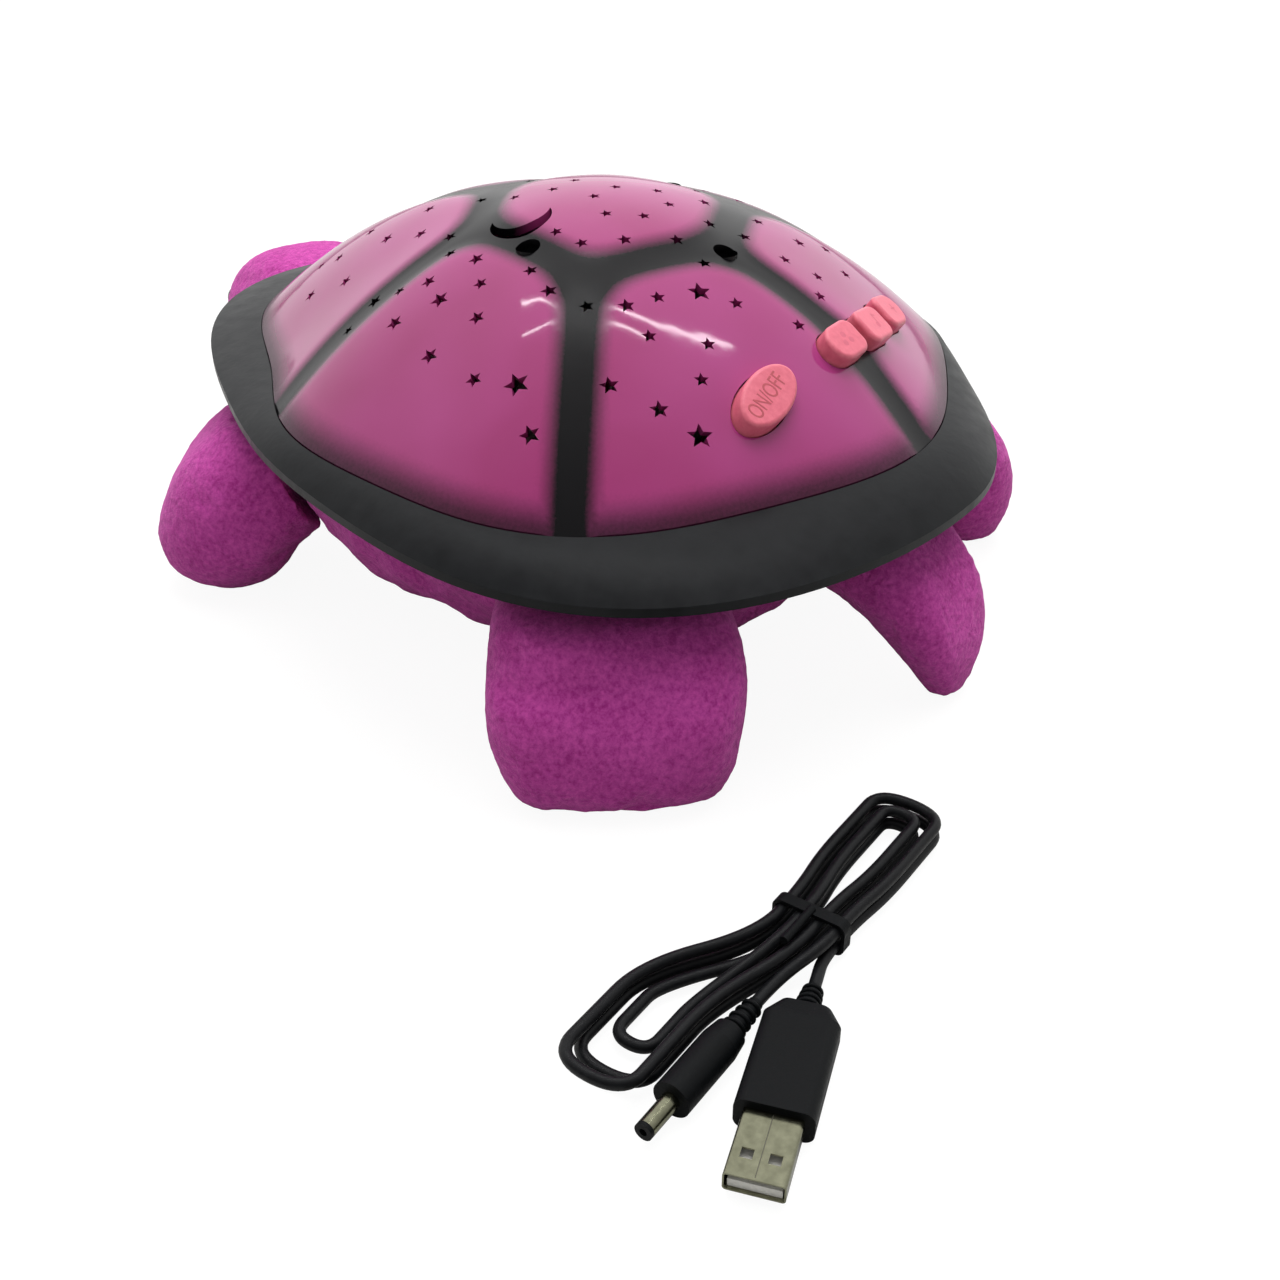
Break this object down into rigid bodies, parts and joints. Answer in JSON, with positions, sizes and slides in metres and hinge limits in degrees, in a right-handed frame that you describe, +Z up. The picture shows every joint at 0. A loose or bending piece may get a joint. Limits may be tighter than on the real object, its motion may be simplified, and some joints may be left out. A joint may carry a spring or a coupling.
{
  "type": "musical night light",
  "caption": "Plush turtle night light: star-pierced shell over coloured lamps, keys at the tail, battery tray in a soft belly and a USB lead in a hank.",
  "frame": {"origin": "middle of the turtle on the floor that it stands on, the lead left out", "axes": "+Z up, +Y towards the tail, +X to the left of the turtle"},
  "size_m": [0.2886, 0.3488, 0.1145],
  "materials": {
    "pink_shell": "gloss",
    "dark_brim": "satin",
    "coral_key": "satin",
    "white_plastic": "satin",
    "plush": "soft pile",
    "zinc": "plated",
    "contact_metal": "plated",
    "cell_can": "gloss",
    "board": "solder mask",
    "chip": "matte",
    "red_lens": "clear",
    "green_lens": "clear",
    "blue_lens": "clear",
    "paper": "matte",
    "magnet": "matte",
    "lead_skin": "matte",
    "eye": "gloss",
    "cord_skin": "matte",
    "plug_metal": "plated"
  },
  "bodies": {
    "turtle": {"aa_cells": "cell_can", "base_tray": "white_plastic", "battery_contacts": "contact_metal", "battery_leads": "lead_skin", "battery_springs": "contact_metal", "blue_lamp": "blue_lens", "case_screws": "zinc", "cord_tie": "cord_skin", "dc_jack": "chip", "dc_jack_pin": "contact_metal", "dc_plug_barrel": "plug_metal", "dc_plug_grip": "cord_skin", "dc_plug_tip": "cord_skin", "eyes": "eye", "front_left_flipper": "plush", "front_right_flipper": "plush", "green_lamp": "green_lens", "lamp_board": "board", "lamp_board_screws": "zinc", "lamp_leads": "lead_skin", "main_board": "board", "main_board_chips": "chip", "main_board_screws": "zinc", "plush_body": "plush", "plush_head": "plush", "plush_tail": "plush", "rear_left_flipper": "plush", "rear_right_flipper": "plush", "red_lamp": "red_lens", "shell_brim": "dark_brim", "shell_dome": "pink_shell", "shell_screws": "zinc", "speaker_cone": "paper", "speaker_frame": "zinc", "speaker_leads": "lead_skin", "speaker_magnet": "magnet", "speaker_screws": "zinc", "switch_board": "board", "switch_board_screws": "zinc", "switch_leads": "lead_skin", "tact_switches": "chip", "usb_cord": "cord_skin", "usb_plug_grip": "cord_skin", "usb_plug_insert": "white_plastic", "usb_plug_shell": "plug_metal"},
    "door": {"battery_door": "white_plastic", "battery_door_screw": "zinc"},
    "on_off_key": {"on_off_button": "coral_key", "on_off_plunger": "white_plastic"},
    "colour_key": {"colour_button": "coral_key", "colour_plunger": "white_plastic"},
    "music_key": {"music_button": "coral_key", "music_plunger": "white_plastic"},
    "volume_key": {"volume_button": "coral_key", "volume_plunger": "white_plastic"}
  },
  "joints": [
    {"name": "battery_door_hinge", "type": "hinge", "parent": "turtle", "child": "door", "pos_m": [0, -0.00087, 0.0102], "axis": [-1, 0, 0], "range_deg": [0, 75]},
    {"name": "on_off_press", "type": "slide", "parent": "turtle", "child": "on_off_key", "axis": [0, -0.5878, -0.809], "range_m": [0, 0.001], "stiffness_N_per_m": 1200, "springref_m": -0.0008},
    {"name": "colour_press", "type": "slide", "parent": "turtle", "child": "colour_key", "axis": [0, -0.5878, -0.809], "range_m": [0, 0.001], "stiffness_N_per_m": 1200, "springref_m": -0.0008},
    {"name": "music_press", "type": "slide", "parent": "turtle", "child": "music_key", "axis": [0, -0.5878, -0.809], "range_m": [0, 0.001], "stiffness_N_per_m": 1200, "springref_m": -0.0008},
    {"name": "volume_press", "type": "slide", "parent": "turtle", "child": "volume_key", "axis": [0, -0.5878, -0.809], "range_m": [0, 0.001], "stiffness_N_per_m": 1200, "springref_m": -0.0008}
  ]
}
